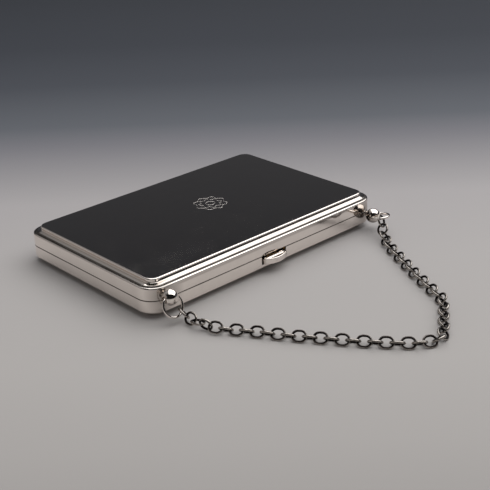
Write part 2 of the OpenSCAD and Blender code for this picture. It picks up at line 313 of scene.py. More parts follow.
def fade(ramp, stops):
    """Sets the stops of a colour ramp."""
    for i, (where, colour) in enumerate(stops):
        stop = ramp.color_ramp.elements[i] if i < 2 else ramp.color_ramp.elements.new(where)
        stop.position, stop.color = where, colour


def around(tree, value, middle, full, gone, most=1.0):
    """A mask round a middle value: at its most as far as `full` from it, and nothing from `gone` on."""
    off = add(tree, "ShaderNodeMath", {0: value, 1: middle}, operation="SUBTRACT")
    off = add(tree, "ShaderNodeMath", {0: off}, operation="ABSOLUTE")
    return add(tree, "ShaderNodeMapRange", {
        "Value": off, "From Min": full, "From Max": gone, "To Min": most, "To Max": 0.0})


def strongest(tree, masks):
    """The strongest of several masks at each point."""
    total = masks[0]
    for mask in masks[1:]:
        total = add(tree, "ShaderNodeMath", {0: total, 1: mask}, operation="MAXIMUM")
    return total


def polishing_lines(tree, at, along, across):
    """Fine lines left by the buff, drawn a little coarser than the real ones so that they show."""
    stretch = add(tree, "ShaderNodeMapping", {"Vector": at, "Scale": (1 / along, 1 / across, 1 / across)})
    return add(tree, "ShaderNodeTexNoise", {
        "Vector": stretch, "Scale": 1.0, "Detail": 4.0, "Roughness": 0.6})


def depth_from_wall(tree, parts, size):
    """How far a point of a tray lies in from the walls, with the rounded corners allowed for."""
    over, past = [], []
    for i, side in enumerate((size.length, size.width)):
        off = add(tree, "ShaderNodeMath", {0: parts.outputs[i]}, operation="ABSOLUTE")
        over.append(add(tree, "ShaderNodeMath", {0: off, 1: side / 2 - size.corner}, operation="SUBTRACT"))
        past.append(add(tree, "ShaderNodeMath", {0: over[i], 1: 0.0}, operation="MAXIMUM"))
    corner = add(tree, "ShaderNodeCombineXYZ", {0: past[0], 1: past[1]})
    reach = add(tree, "ShaderNodeVectorMath", {0: corner}, operation="LENGTH").outputs["Value"]
    inner = add(tree, "ShaderNodeMath", {0: over[0], 1: over[1]}, operation="MAXIMUM")
    inner = add(tree, "ShaderNodeMath", {0: inner, 1: 0.0}, operation="MINIMUM")
    reach = add(tree, "ShaderNodeMath", {0: reach, 1: inner}, operation="ADD")
    return add(tree, "ShaderNodeMath", {0: size.corner, 1: reach}, operation="SUBTRACT")


def tarnish_and_painted_shade(tree, at, parts, size):
    """Where no cloth reaches on the trays and the film of tarnish stays, and where shade is painted round the balls
    and below the lid's edge.
    """
    depth, height = depth_from_wall(tree, parts, size), parts.outputs[2]
    masks = [
        # Thickest inside the small step, and thin in the hollow at the foot of the panel
        around(tree, depth, 0.86 * MM, 0.25 * MM, 0.5 * MM),
        around(tree, depth, size.panel_in - 0.56 * MM, 0.13 * MM, 0.26 * MM, 0.15),
        # In the seam between the halves
        around(tree, height, size.seam, 0.15 * MM, 0.25 * MM),
    ]
    # Painted shade on the wall round each ball, with some tarnish behind it where no cloth reaches
    for ball in (LEFT_BALL, RIGHT_BALL):
        off = add(tree, "ShaderNodeVectorMath", {0: at, 1: ball}, operation="DISTANCE").outputs["Value"]
        masks.append(add(tree, "ShaderNodeMapRange", {
            "Value": off, "From Min": 2.7 * MM, "From Max": 8 * MM, "To Min": 0.8, "To Max": 0.0}))
    # Painted shade: a thin dark line on the front wall, below the lid's rounded edge
    shade_below_edge = around(tree, height, size.seam + size.wall - 0.85 * MM, 0.2 * MM, 0.6 * MM, 0.4)
    front_wall = add(tree, "ShaderNodeMath", {
        0: parts.outputs[1], 1: 0.05 * MM - size.width / 2}, operation="LESS_THAN")
    masks.append(add(tree, "ShaderNodeMath", {0: shade_below_edge, 1: front_wall}, operation="MULTIPLY"))
    return strongest(tree, masks)


def rosette(tree, parts):
    """Engraved rosette on the lid: two waved circles, one inside the other, round a plain one."""
    centre, lobes, swing, line = Vector((4.0, 1.5)) * MM, 8.0, 1.2 * MM, 0.13 * MM
    x = add(tree, "ShaderNodeMath", {0: parts.outputs[0], 1: centre.x}, operation="SUBTRACT")
    y = add(tree, "ShaderNodeMath", {0: parts.outputs[1], 1: centre.y}, operation="SUBTRACT")
    flat = add(tree, "ShaderNodeCombineXYZ", {0: x, 1: y})
    reach = add(tree, "ShaderNodeVectorMath", {0: flat}, operation="LENGTH").outputs["Value"]
    turn = add(tree, "ShaderNodeMath", {0: y, 1: x}, operation="ARCTAN2")
    turn = add(tree, "ShaderNodeMath", {0: turn, 1: lobes}, operation="MULTIPLY")
    wave = add(tree, "ShaderNodeMath", {0: turn}, operation="COSINE")
    wave = add(tree, "ShaderNodeMath", {0: wave, 1: swing}, operation="MULTIPLY")
    circles = []
    for radius, share in ((5.0 * MM, 0.4), (3.4 * MM, -0.4), (1.5 * MM, 0.0)):
        edge = add(tree, "ShaderNodeMath", {0: wave, 1: share}, operation="MULTIPLY")
        edge = add(tree, "ShaderNodeMath", {0: edge, 1: radius}, operation="ADD")
        circles.append(around(tree, reach, edge, line * 0.4, line))
    on_top = add(tree, "ShaderNodeMath", {
        0: parts.outputs[2], 1: LID_HIGH.z - 0.2 * MM}, operation="GREATER_THAN")
    return add(tree, "ShaderNodeMath", {0: strongest(tree, circles), 1: on_top}, operation="MULTIPLY")


def sheet_silver(name, engraved=False):
    """Sterling silver, rolled, pressed and buffed.

    It is a near mirror with soft hand marks, and has a warm film of tarnish in its hollows. Its colour also carries
    painted shade on the walls round the balls and in a line below the lid's edge at the front.
    """
    look, size = bpy.context.scene.card_case_finishes, bpy.context.scene.card_case_sizes
    material, tree = new_material(name)
    at = add(tree, "ShaderNodeTexCoord").outputs["Object"]
    parts = add(tree, "ShaderNodeSeparateXYZ", {0: at})
    clouds = add(tree, "ShaderNodeTexNoise", {
        "Vector": at, "Scale": 1 / (7 * MM), "Detail": 5.0, "Roughness": 0.6})
    # The film of tarnish is cloudy in the hollows, and only a breath on the open faces; the same film also holds the
    # painted shade round the balls and below the lid's edge
    uneven = add(tree, "ShaderNodeMath", {0: clouds, 1: 0.5}, operation="MULTIPLY")
    uneven = add(tree, "ShaderNodeMath", {0: 0.6, 1: uneven}, operation="ADD")
    film_and_shade = add(tree, "ShaderNodeMath", {
        0: tarnish_and_painted_shade(tree, at, parts, size), 1: uneven}, operation="MULTIPLY", use_clamp=True)
    breath = add(tree, "ShaderNodeMapRange", {"Value": clouds, "From Min": 0.45, "From Max": 0.8})
    breath = add(tree, "ShaderNodeMath", {0: breath, 1: 0.07}, operation="MULTIPLY")
    film_and_shade = strongest(tree, [film_and_shade, breath])
    colour = add(tree, "ShaderNodeMix", {
        "Factor": film_and_shade, 6: look.silver, 7: look.tarnish_and_shade}, data_type="RGBA").outputs[2]
    # Marks of the buff run along the case, and slow waves are left from the pressing
    lines = polishing_lines(tree, at, 7 * MM, 0.25 * MM)
    surface = add(tree, "ShaderNodeBump", {"Height": lines, "Strength": 1.0, "Distance": 0.0000008})
    waves = add(tree, "ShaderNodeTexNoise", {"Vector": at, "Scale": 1 / (16 * MM), "Detail": 2.0})
    surface = add(tree, "ShaderNodeBump", {
        "Height": waves, "Strength": 1.0, "Distance": 0.00002, "Normal": surface})
    # Smears of handling make the polish a little softer here and there
    smears = add(tree, "ShaderNodeMapRange", {
        "Value": clouds, "From Min": 0.35, "From Max": 0.7, "To Min": 0.03, "To Max": 0.06})
    dull = add(tree, "ShaderNodeMath", {0: film_and_shade, 1: 0.2}, operation="MULTIPLY")
    rough = add(tree, "ShaderNodeMath", {0: smears, 1: dull}, operation="ADD")
    if engraved:
        lines = rosette(tree, parts)
        share = add(tree, "ShaderNodeMath", {0: lines, 1: 0.2}, operation="MULTIPLY")
        colour = add(tree, "ShaderNodeMix", {
            "Factor": share, 6: colour, 7: look.tarnish_and_shade}, data_type="RGBA").outputs[2]
        rough = add(tree, "ShaderNodeMath", {0: rough, 1: share}, operation="ADD")
        surface = add(tree, "ShaderNodeBump", {
            "Height": lines, "Strength": 1.0, "Distance": 0.00002, "Normal": surface}, invert=True)
    shader = add(tree, "ShaderNodeBsdfPrincipled", {
        "Metallic": 1.0, "Base Color": colour, "Roughness": rough, "Normal": surface})
    add(tree, "ShaderNodeOutputMaterial", {"Surface": shader})
    return material


def cast_silver(name):
    """Cast silver, turned and burnished.

    It is brighter than the sheet, with faint tool marks, and dull where no cloth reaches. Shade is painted in the
    tarnish colour on the underside of each ball.
    """
    look, size = bpy.context.scene.card_case_finishes, bpy.context.scene.card_case_fittings
    material, tree = new_material(name)
    at = add(tree, "ShaderNodeTexCoord").outputs["Object"]
    patches = add(tree, "ShaderNodeTexNoise", {"Vector": at, "Scale": 1 / (1.6 * MM), "Detail": 4.0})
    films_and_shade = [add(tree, "ShaderNodeMapRange", {
        "Value": patches, "From Min": 0.5, "From Max": 0.8, "To Max": 0.3})]
    # Painted shade, in the tarnish colour, on the underside of each ball, a little to its back
    for ball in (LEFT_BALL, RIGHT_BALL):
        off = add(tree, "ShaderNodeVectorMath", {0: at, 1: ball}, operation="SUBTRACT")
        reach = add(tree, "ShaderNodeVectorMath", {0: off}, operation="LENGTH").outputs["Value"]
        on_ball = add(tree, "ShaderNodeMath", {0: reach, 1: size.ball + 0.05 * MM}, operation="LESS_THAN")
        underside_shade = add(tree, "ShaderNodeVectorMath", {
            0: off, 1: Vector((0, 0.2, -0.98))}, operation="DOT_PRODUCT").outputs["Value"]
        underside_shade = add(tree, "ShaderNodeMapRange", {
            "Value": underside_shade, "From Min": 0.0, "From Max": 1.5 * MM, "To Max": 0.8})
        films_and_shade.append(add(tree, "ShaderNodeMath", {0: underside_shade, 1: on_ball}, operation="MULTIPLY"))
    film_and_shade = strongest(tree, films_and_shade)
    colour = add(tree, "ShaderNodeMix", {
        "Factor": film_and_shade, 6: look.silver, 7: look.tarnish_and_shade}, data_type="RGBA").outputs[2]
    rough = add(tree, "ShaderNodeMath", {0: film_and_shade, 1: 0.2}, operation="MULTIPLY")
    rough = add(tree, "ShaderNodeMath", {0: 0.06, 1: rough}, operation="ADD")
    lines = polishing_lines(tree, at, 1.2 * MM, 0.2 * MM)
    surface = add(tree, "ShaderNodeBump", {"Height": lines, "Strength": 1.0, "Distance": 0.0000015})
    shader = add(tree, "ShaderNodeBsdfPrincipled", {
        "Metallic": 1.0, "Base Color": colour, "Roughness": rough, "Normal": surface})
    add(tree, "ShaderNodeOutputMaterial", {"Surface": shader})
    return material


def wire_silver(name):
    """Drawn silver wire, bent and soldered: dark with oxide, and rubbed bright where it meets skin and cloth."""
    look = bpy.context.scene.card_case_finishes
    material, tree = new_material(name)
    at = add(tree, "ShaderNodeTexCoord").outputs["Object"]
    grains = add(tree, "ShaderNodeTexNoise", {
        "Vector": at, "Scale": 1 / (0.9 * MM), "Detail": 6.0, "Roughness": 0.7})
    rubbed = add(tree, "ShaderNodeAttribute", attribute_name="rubbed").outputs["Fac"]
    patchy = add(tree, "ShaderNodeMath", {0: grains, 1: 0.8}, operation="MULTIPLY")
    reach = add(tree, "ShaderNodeMath", {0: rubbed, 1: patchy}, operation="ADD")
    worn = add(tree, "ShaderNodeMapRange", {"Value": reach, "From Min": 1.0, "From Max": 1.5})
    colour = add(tree, "ShaderNodeMix", {
        "Factor": worn, 6: look.oxide, 7: look.chain}, data_type="RGBA").outputs[2]
    bright = add(tree, "ShaderNodeMath", {0: worn, 1: 0.22}, operation="MULTIPLY")
    rough = add(tree, "ShaderNodeMath", {0: 0.34, 1: bright}, operation="SUBTRACT")
    surface = add(tree, "ShaderNodeBump", {"Height": grains, "Strength": 1.0, "Distance": 0.000012})
    shader = add(tree, "ShaderNodeBsdfPrincipled", {
        "Metallic": 1.0, "Base Color": colour, "Roughness": rough, "Normal": surface})
    add(tree, "ShaderNodeOutputMaterial", {"Surface": shader})
    return material


def gilt_silver(name):
    """Fire-gilt silver: a thin matt gold wash, paler where cards have rubbed it."""
    look = bpy.context.scene.card_case_finishes
    material, tree = new_material(name)
    at = add(tree, "ShaderNodeTexCoord").outputs["Object"]
    # Cards slide along the case, so the rubbed streaks run that way
    streaks = add(tree, "ShaderNodeMapping", {
        "Vector": at, "Scale": (1 / (11 * MM), 1 / (0.7 * MM), 1 / (0.7 * MM))})
    rubs = add(tree, "ShaderNodeTexNoise", {"Vector": streaks, "Scale": 1.0, "Detail": 5.0})
    worn = add(tree, "ShaderNodeMapRange", {"Value": rubs, "From Min": 0.52, "From Max": 0.8, "To Max": 0.35})
    colour = add(tree, "ShaderNodeMix", {
        "Factor": worn, 6: look.gilding, 7: look.silver}, data_type="RGBA").outputs[2]
    rough = add(tree, "ShaderNodeMath", {0: rubs, 1: 0.12}, operation="MULTIPLY")
    rough = add(tree, "ShaderNodeMath", {0: 0.24, 1: rough}, operation="ADD")
    surface = add(tree, "ShaderNodeBump", {"Height": rubs, "Strength": 1.0, "Distance": 0.000006})
    shader = add(tree, "ShaderNodeBsdfPrincipled", {
        "Metallic": 1.0, "Base Color": colour, "Roughness": rough, "Normal": surface})
    add(tree, "ShaderNodeOutputMaterial", {"Surface": shader})
    return material


def spring_steel(name):
    """Hardened steel strip, ground along its length, with a straw tint from its tempering."""
    material, tree = new_material(name)
    at = add(tree, "ShaderNodeTexCoord").outputs["Object"]
    lines = polishing_lines(tree, at, 3 * MM, 0.12 * MM)
    colour = add(tree, "ShaderNodeMix", {
        "Factor": lines, 6: linear("8E9094"), 7: linear("A79A84")}, data_type="RGBA").outputs[2]
    surface = add(tree, "ShaderNodeBump", {"Height": lines, "Strength": 1.0, "Distance": 0.000002})
    shader = add(tree, "ShaderNodeBsdfPrincipled", {
        "Metallic": 1.0, "Base Color": colour, "Roughness": 0.3, "Normal": surface})
    add(tree, "ShaderNodeOutputMaterial", {"Surface": shader})
    return material


METALS = {
    "buffed_sterling_silver": sheet_silver,
    "engraved_sterling_silver": lambda name: sheet_silver(name, engraved=True),
    "burnished_cast_silver": cast_silver,
    "oxidised_silver_wire": wire_silver,
    "gilt_wash_on_silver": gilt_silver,
    "tempered_spring_steel": spring_steel,
}


def metal(name):
    """A metal by its name, made once."""
    return bpy.data.materials.get(name) or METALS[name](name)


# The two trays


# How far in from the panel's edge the hollow under it starts, and how much the rim at the seam is eased
PANEL_LIP, RIM_EASE = 0.4 * MM, 0.13 * MM
# Room at each side of the thumb-piece in its notch, and above and behind it
NOTCH_SIDE, NOTCH_ROOM = 0.45 * MM, 0.2 * MM


def arc(x, z, r, start, end, count):
    """Points of an arc of radius r round (x, z), from one angle to another in degrees."""
    angles = [math.radians(start + (end - start) * i / count) for i in range(count + 1)]
    return [(x + r * math.cos(a), z + r * math.sin(a)) for a in angles]


def border_steps(size):
    """The border moulding from the wall to the flat panel, as steps of (inset, rise) in metres."""
    wall, high, edge = size.wall / MM, (LID_HIGH.z - size.seam) / MM, size.panel_in / MM
    # The wall's rounded edge
    line = [(0, wall - 0.5)] + arc(0.45, wall - 0.45, 0.45, 180, 90, 7)
    # The small step up, hollow at its foot and rounded on top
    line += [(0.6, wall)] + arc(0.78, wall + 0.1, 0.1, 270, 360, 2)[:-1]
    line += arc(0.96, wall + 0.2, 0.14, 180, 90, 4)
    # The gentle slope, and the hollow at the foot of the panel
    line += [(1.05, wall + 0.345), (edge - 0.7, wall + 0.54)]
    line += arc(edge - 0.6, wall + 0.78, 0.22, 270, 360, 5)
    # The panel's upright and its rounded edge
    line += [(edge - 0.38, high - 0.42)] + arc(edge, high - 0.38, 0.38, 180, 90, 7) + [(edge + 0.06, high)]
    return [(x * MM, z * MM) for x, z in line]


def inset_of(size, point):
    """Distance of a point in from the walls, with the rounded corners allowed for."""
    x, y = abs(point.x) - (size.length / 2 - size.corner), abs(point.y) - (size.width / 2 - size.corner)
    return size.corner - math.hypot(max(x, 0), max(y, 0)) - min(max(x, y), 0)


def make_tray(size, up):
    """One tray, drawn up from the seam with its moulding and hollowed; up is 1 for the lid and -1 for the base."""
    seam, plain = size.seam, size.wall - 0.6 * MM
    deselect()
    bpy.ops.mesh.primitive_cube_add(
        size=1, location=(0, 0, seam + up * plain / 2), scale=(size.length, size.width, plain))
    tray = bpy.context.object
    bpy.ops.object.transform_apply(location=True, rotation=True, scale=True)
    edit("EDGE")
    pick_edges(lambda a, b: same(a.x, b.x) and same(a.y, b.y))
    bevel(size.corner, size.corner_steps)
    bpy.ops.mesh.select_mode(type="FACE")
    pick_faces(lambda c, n: n.z * up > 0.9)
    reached, height = 0.0, plain
    for x, z in border_steps(size):
        if x - reached < 1e-7:
            extrude(z=up * (z - height))
        else:
            inset(x - reached, z - height)
        reached, height = x, z
    # The hollow, first as wide as the walls allow and then under the panel
    pick_faces(lambda c, n: n.z * up < -0.9)
    inset(size.sheet)
    extrude(z=up * (size.wall - size.sheet))
    inset(size.panel_in + PANEL_LIP - size.sheet)
    extrude(z=up * (LID_HIGH.z - seam - size.wall))
    # The rim is eased, so that the seam shows as a fine line
    bpy.ops.mesh.select_mode(type="EDGE")
    pick_edges(lambda a, b: all(same(p.z, seam) and inset_of(size, p) < 0.01 * MM for p in (a, b)))
    bevel(RIM_EASE, 3)
    bpy.ops.object.mode_set(mode="OBJECT")
    return tray


def block(low, high):
    """A plain block between two corners, for cutting."""
    deselect()
    middle, size = (Vector(low) + Vector(high)) / 2, Vector(high) - Vector(low)
    bpy.ops.mesh.primitive_cube_add(size=1, location=middle, scale=size)
    piece = bpy.context.object
    place(piece)
    return piece


HINGE_LOW, HINGE_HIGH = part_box("base_knuckles")
HINGE_Y, HINGE_Z = (HINGE_HIGH.y + HINGE_LOW.y) / 2, (HINGE_HIGH.z + HINGE_LOW.z) / 2
KNUCKLES, KNUCKLE_GAP, KNUCKLE_R = 5, 0.12 * MM, (HINGE_HIGH.z - HINGE_LOW.z) / 2
KNUCKLE_L = (HINGE_HIGH.x - HINGE_LOW.x - (KNUCKLES - 1) * KNUCKLE_GAP) / KNUCKLES
BASE_KNUCKLES, LID_KNUCKLES = (0, 2, 4), (1, 3)
# Radius of the hole in the knuckles for the pin
PIN_HOLE_R = 0.38 * MM


def knuckle_span(i):
    """Where a knuckle starts and ends along the case."""
    start = HINGE_LOW.x + i * (KNUCKLE_L + KNUCKLE_GAP)
    return start, start + KNUCKLE_L


def hinge_bar(x0, x1, radius, vertices=32):
    """A round bar along the line of the hinge."""
    deselect()
    bpy.ops.mesh.primitive_cylinder_add(
        vertices=vertices, radius=radius, depth=x1 - x0,
        location=((x0 + x1) / 2, HINGE_Y, HINGE_Z), rotation=(0, math.pi / 2, 0))
    piece = bpy.context.object
    place(piece)
    return piece


def cut_gutters(tray, own):
    """Room for the knuckles: close round the tray's own, and clear of the others."""
    for i in range(KNUCKLES):
        spare = 0 if i in own else KNUCKLE_GAP
        x0, x1 = knuckle_span(i)
        cut(tray, hinge_bar(x0 - spare, x1 + spare, KNUCKLE_R + spare))


def gild_inside(tray, size):
    """Gives the faces inside the walls and under the panel the second material."""
    skin, slack = size.sheet, 0.01 * MM
    for face in tray.data.polygons:
        depth, rise = inset_of(size, face.center), abs(face.center.z - size.seam)
        below_top = rise < LID_HIGH.z - size.seam - skin + slack
        in_hollow = rise < size.wall - skin + slack or depth > size.panel_in + PANEL_LIP - 0.05 * MM
        if depth > skin - slack and below_top and in_hollow:
            face.material_index = 1


class CARDCASE_OT_lid(bpy.types.Operator):
    """Builds the lid tray with its moulded border and engraved rosette"""

    bl_idname = "cardcase.lid"
    bl_label = "Lid"

    def execute(self, context):
        size = context.scene.card_case_sizes
        tray = make_tray(size, 1)
        cut_gutters(tray, LID_KNUCKLES)
        metals = ("engraved_sterling_silver", "gilt_wash_on_silver")
        finish(tray, "lid_tray", "lid", ["lid_shell"], metals)
        gild_inside(tray, size)
        return {"FINISHED"}


class CARDCASE_OT_base(bpy.types.Operator):
    """Builds the base tray with the notch for the thumb-piece"""

    bl_idname = "cardcase.base"
    bl_label = "Base"

    def execute(self, context):
        size = context.scene.card_case_sizes
        tray = make_tray(size, -1)
        cut_gutters(tray, BASE_KNUCKLES)
        low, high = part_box("thumb_piece")
        half, wall = size.thumb / 2 + NOTCH_SIDE, -size.width / 2
        notch = block(
            (-half, wall - MM, low.z - NOTCH_ROOM), (half, wall + size.sheet + NOTCH_ROOM, size.seam + MM))
        place(notch, Matrix.Translation(((low.x + high.x) / 2, 0, 0)))
        cut(tray, notch)
        metals = ("buffed_sterling_silver", "gilt_wash_on_silver")
        finish(tray, "base_tray", "base", ["base_shell"], metals)
        gild_inside(tray, size)
        return {"FINISHED"}


# The hinge


def off_pin(point):
    """Distance of a point from the middle line of the pin."""
    return math.hypot(point.y - HINGE_Y, point.z - HINGE_Z)


def pick_rings(radius):
    """Selects the edges that run round both ends of a knuckle at a radius."""
    pick_edges(lambda a, b: same(off_pin(a), radius) and same(off_pin(b), radius) and same(a.x, b.x))


def make_knuckle(x0, x1):
    """A knuckle: a tube with a hole for the pin and eased ends."""
    tube = hinge_bar(x0, x1, KNUCKLE_R, 48)
    edit("FACE")
    pick_faces(lambda c, n: abs(n.x) > 0.9)
    inset(KNUCKLE_R - PIN_HOLE_R)
    pick_faces(lambda c, n: abs(n.x) > 0.9 and off_pin(c) < TOUCH)
    bpy.ops.mesh.delete(type="ONLY_FACE")
    pick_rings(PIN_HOLE_R)
    bpy.ops.mesh.bridge_edge_loops()
    pick_rings(KNUCKLE_R)
    bevel(0.08 * MM, 2)
    bpy.ops.object.mode_set(mode="OBJECT")
    return tube


class CARDCASE_OT_hinge(bpy.types.Operator):
    """Builds the five knuckles and the pin of the hinge"""

    bl_idname = "cardcase.hinge"
    bl_label = "Hinge"

    def execute(self, context):
        for half, turns in (("base", BASE_KNUCKLES), ("lid", LID_KNUCKLES)):
            tubes = [make_knuckle(*knuckle_span(i)) for i in turns]
            knuckles = join(f"{half}_knuckle", tubes)
            metals = ("buffed_sterling_silver",)
            finish(knuckles, f"{half}_knuckle_tubes", half, [f"{half}_knuckles"], metals)
        low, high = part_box("hinge_pin")
        pin = hinge_bar(low.x, high.x, (high.z - low.z) / 2)
        edit("EDGE")
        pick_edges(lambda a, b: same(a.x, b.x))
        bevel(0.16 * MM, 4)
        finish(pin, "hinge_pin_wire", "base", ["hinge_pin"], ("burnished_cast_silver",))
        return {"FINISHED"}


# The thumb-piece


# Its straight sides, the shoulders that stop it behind the wall, and the rim round its dish
THUMB_SIDE, THUMB_SHOULDER, THUMB_RIM = 0.9 * MM, 0.5 * MM, 0.5 * MM
# Steps of its full circle, so that none falls close to where the circle is sliced
THUMB_STEPS = 54


def slice_off(at, way):
    """Cuts away what lies past a plane and closes the cut."""
    bpy.ops.mesh.select_all(action="SELECT")
    bpy.ops.mesh.bisect(plane_co=at, plane_no=way, use_fill=True, clear_outer=True, threshold=1e-7)


def thumb_disc(radius, depth, centre):
    """A round disc, open for editing."""
    deselect()
    bpy.ops.mesh.primitive_cylinder_add(vertices=THUMB_STEPS, radius=radius, depth=depth, location=centre)
    disc = bpy.context.object
    place(disc)
    edit("FACE")
    return disc


def make_thumb(size, low, high, radius):
    """The thumb-piece: a slice of a disc with straight sides, its shank through the wall, and its shoulders."""
    wall, centre = -size.width / 2, Vector(((low.x + high.x) / 2, low.y + radius, (low.z + high.z) / 2))
    piece = thumb_disc(radius, high.z - low.z, centre)
    slice_off((0, wall - THUMB_SIDE, 0), (0, 1, 0))
    pick_faces(lambda c, n: n.y > 0.9)
    extrude(y=THUMB_SIDE)
    # The flat top and bottom become one face each, so that the bevels below meet no inner edge
    bpy.ops.mesh.select_all(action="SELECT")
    bpy.ops.mesh.dissolve_limited(angle_limit=math.radians(1))
    pick_faces(lambda c, n: n.y > 0.9)
    back, step = high.y - THUMB_SHOULDER, 0.02 * MM
    extrude(y=back - wall)
    extrude(y=step)
    bpy.ops.transform.resize(
        value=((high.x - low.x) / size.thumb, 1, 1), center_override=(centre.x, back, centre.z))
    extrude(y=THUMB_SHOULDER - step)
    # The nose's two corners are rounded, and then its top and bottom edges
    bpy.ops.mesh.select_mode(type="EDGE")
    pick_edges(lambda a, b: abs(a.z - b.z) > 0.1 * MM and all(same(p.y, wall - THUMB_SIDE) for p in (a, b)))
    bevel(0.7 * MM, 10)
    pick_edges(lambda a, b: same(a.z, b.z) and max(a.y, b.y) < wall + TOUCH and min(a.y, b.y) < wall - TOUCH)
    bevel(0.26 * MM, 5)
    bpy.ops.object.mode_set(mode="OBJECT")
    return piece


def make_dish(size, low, high, radius):
    """What is hollowed out of the thumb-piece's top, inside a rim that is eased."""
    wall, middle, half = -size.width / 2, (low.x + high.x) / 2, size.thumb / 2 - THUMB_RIM
    dish = thumb_disc(radius - THUMB_RIM, 1.0 * MM, (middle, low.y + radius, high.z))
    slice_off((0, wall - 0.1 * MM, 0), (0, 1, 0))
    slice_off((middle + half, 0, 0), (1, 0, 0))
    slice_off((middle - half, 0, 0), (-1, 0, 0))
    bpy.ops.mesh.select_mode(type="EDGE")
    pick_edges(lambda a, b: max(a.z, b.z) < high.z - 0.4 * MM)
    bevel(0.3 * MM, 5)
    bpy.ops.object.mode_set(mode="OBJECT")
    return dish


class CARDCASE_OT_thumb(bpy.types.Operator):
    """Builds the half-round thumb-piece, hollowed on top, with its shank and shoulders"""

    bl_idname = "cardcase.thumb"
    bl_label = "Thumb-piece"

    def execute(self, context):
        size = context.scene.card_case_sizes
        low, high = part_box("thumb_piece")
        bow = -size.width / 2 - low.y - THUMB_SIDE
        radius = (size.thumb * size.thumb / 4 + bow * bow) / (2 * bow)
        piece = make_thumb(size, low, high, radius)
        cut(piece, make_dish(size, low, high, radius))
        finish(piece, "thumb_button", "thumb", ["thumb_piece"], ("burnished_cast_silver",))
        return {"FINISHED"}


# Ball fittings, rings and chain


# The line through both balls leans by this much, and each ring is turned about it
SWING_TILT = math.atan2(LEFT_BALL.z - RIGHT_BALL.z, RIGHT_BALL.x - LEFT_BALL.x)
LEFT_TURN, RIGHT_TURN = math.radians(65), math.radians(-10)
# Rings of faces from pole to pole of a ball, and the one at the edge of its hole
BALL_RINGS, HOLE_RING = 32, 4
# How far a peg reaches into its ball and into the wall
PEG_IN_BALL, PEG_IN_WALL = 1.0 * MM, 0.5 * MM


def make_ball(size, centre, open_below):
    """A ball drilled from end to end, and sawn open below the hole if it has to let its ring go."""
    deselect()
    bpy.ops.mesh.primitive_uv_sphere_add(segments=64, ring_count=BALL_RINGS, radius=size.ball)
    ball = bpy.context.object
    edit("FACE")
    # The hole is drilled from pole to pole
    drill = size.hole + 0.05 * MM
    pick_faces(lambda c, n: math.hypot(c.x, c.y) < drill)
    bpy.ops.mesh.delete(type="FACE")
    bpy.ops.mesh.select_mode(type="EDGE")
    bpy.ops.mesh.select_non_manifold()
    bpy.ops.mesh.bridge_edge_loops()
    rim = size.ball * math.sin(math.pi * HOLE_RING / BALL_RINGS)
    pick_edges(lambda a, b: same(a.z, b.z) and all(same(math.hypot(p.x, p.y), rim) for p in (a, b)))
    bevel(0.12 * MM, 3)
    bpy.ops.object.mode_set(mode="OBJECT")
    place(ball, Matrix.Translation(centre) @ Matrix.Rotation(math.pi / 2 + SWING_TILT, 4, "Y"))
    if open_below:
        reach, half = 2 * size.ball, rim * 0.98
        slot = block((-reach, -half, -reach), (reach, half, 0))
        place(slot, Matrix.Translation(centre) @ Matrix.Rotation(SWING_TILT, 4, "Y"))
        cut(ball, slot)
    return ball


def make_peg(case, size, centre):
    """The peg between a ball and the wall."""
    y0, y1 = centre.y + size.ball - PEG_IN_BALL, PEG_IN_WALL - case.width / 2
    deselect()
    bpy.ops.mesh.primitive_cylinder_add(
        vertices=40, radius=size.peg, depth=y1 - y0,
        location=(centre.x, (y0 + y1) / 2, centre.z), rotation=(math.pi / 2, 0, 0))
    peg = bpy.context.object
    place(peg)
    edit("EDGE")
    pick_edges(lambda a, b: same(a.y, b.y))
    bevel(0.1 * MM, 3)
    bpy.ops.object.mode_set(mode="OBJECT")
    return peg


class CARDCASE_OT_balls(bpy.types.Operator):
    """Builds the two balls with their drilled holes and pegs"""

    bl_idname = "cardcase.balls"
    bl_label = "Balls"

    def execute(self, context):
        case, size = context.scene.card_case_sizes, context.scene.card_case_fittings
        metals = ("burnished_cast_silver",)
        for side, centre, body in (("left", LEFT_BALL, "lid"), ("right", RIGHT_BALL, "base")):
            ball = make_ball(size, centre, side == "left")
            finish(ball, f"{side}_ball_bead", body, [f"{side}_ball"], metals, angle=40)
            peg = make_peg(case, size, centre)
            finish(peg, f"{side}_ball_peg", body, [f"{side}_peg"], metals)
        return {"FINISHED"}


def ring_place(size, centre, turn):
    """Where a ring hangs: its wire through the ball's hole, turned about the line through both balls."""
    turned = Matrix.Rotation(SWING_TILT, 4, "Y") @ Matrix.Rotation(turn, 4, "X")
    return Matrix.Translation(centre) @ turned @ Matrix.Translation((0, size.ring_lift - size.ring, 0))


class CARDCASE_OT_rings(bpy.types.Operator):
    """Builds the two rings that hang in the balls"""

    bl_idname = "cardcase.rings"
    bl_label = "Rings"

    def execute(self, context):
        size = context.scene.card_case_fittings
        metals = ("burnished_cast_silver",)
        for side, centre, turn in (("left", LEFT_BALL, LEFT_TURN), ("right", RIGHT_BALL, RIGHT_TURN)):
            deselect()
            bpy.ops.mesh.primitive_torus_add(
                major_radius=size.ring, minor_radius=size.ring_wire, major_segments=96, minor_segments=20)
            ring = bpy.context.object
            place(ring, ring_place(size, centre, turn))
            finish(ring, f"{side}_ring_wire", "chain", [f"{side}_ring"], metals, flats=False)
        return {"FINISHED"}


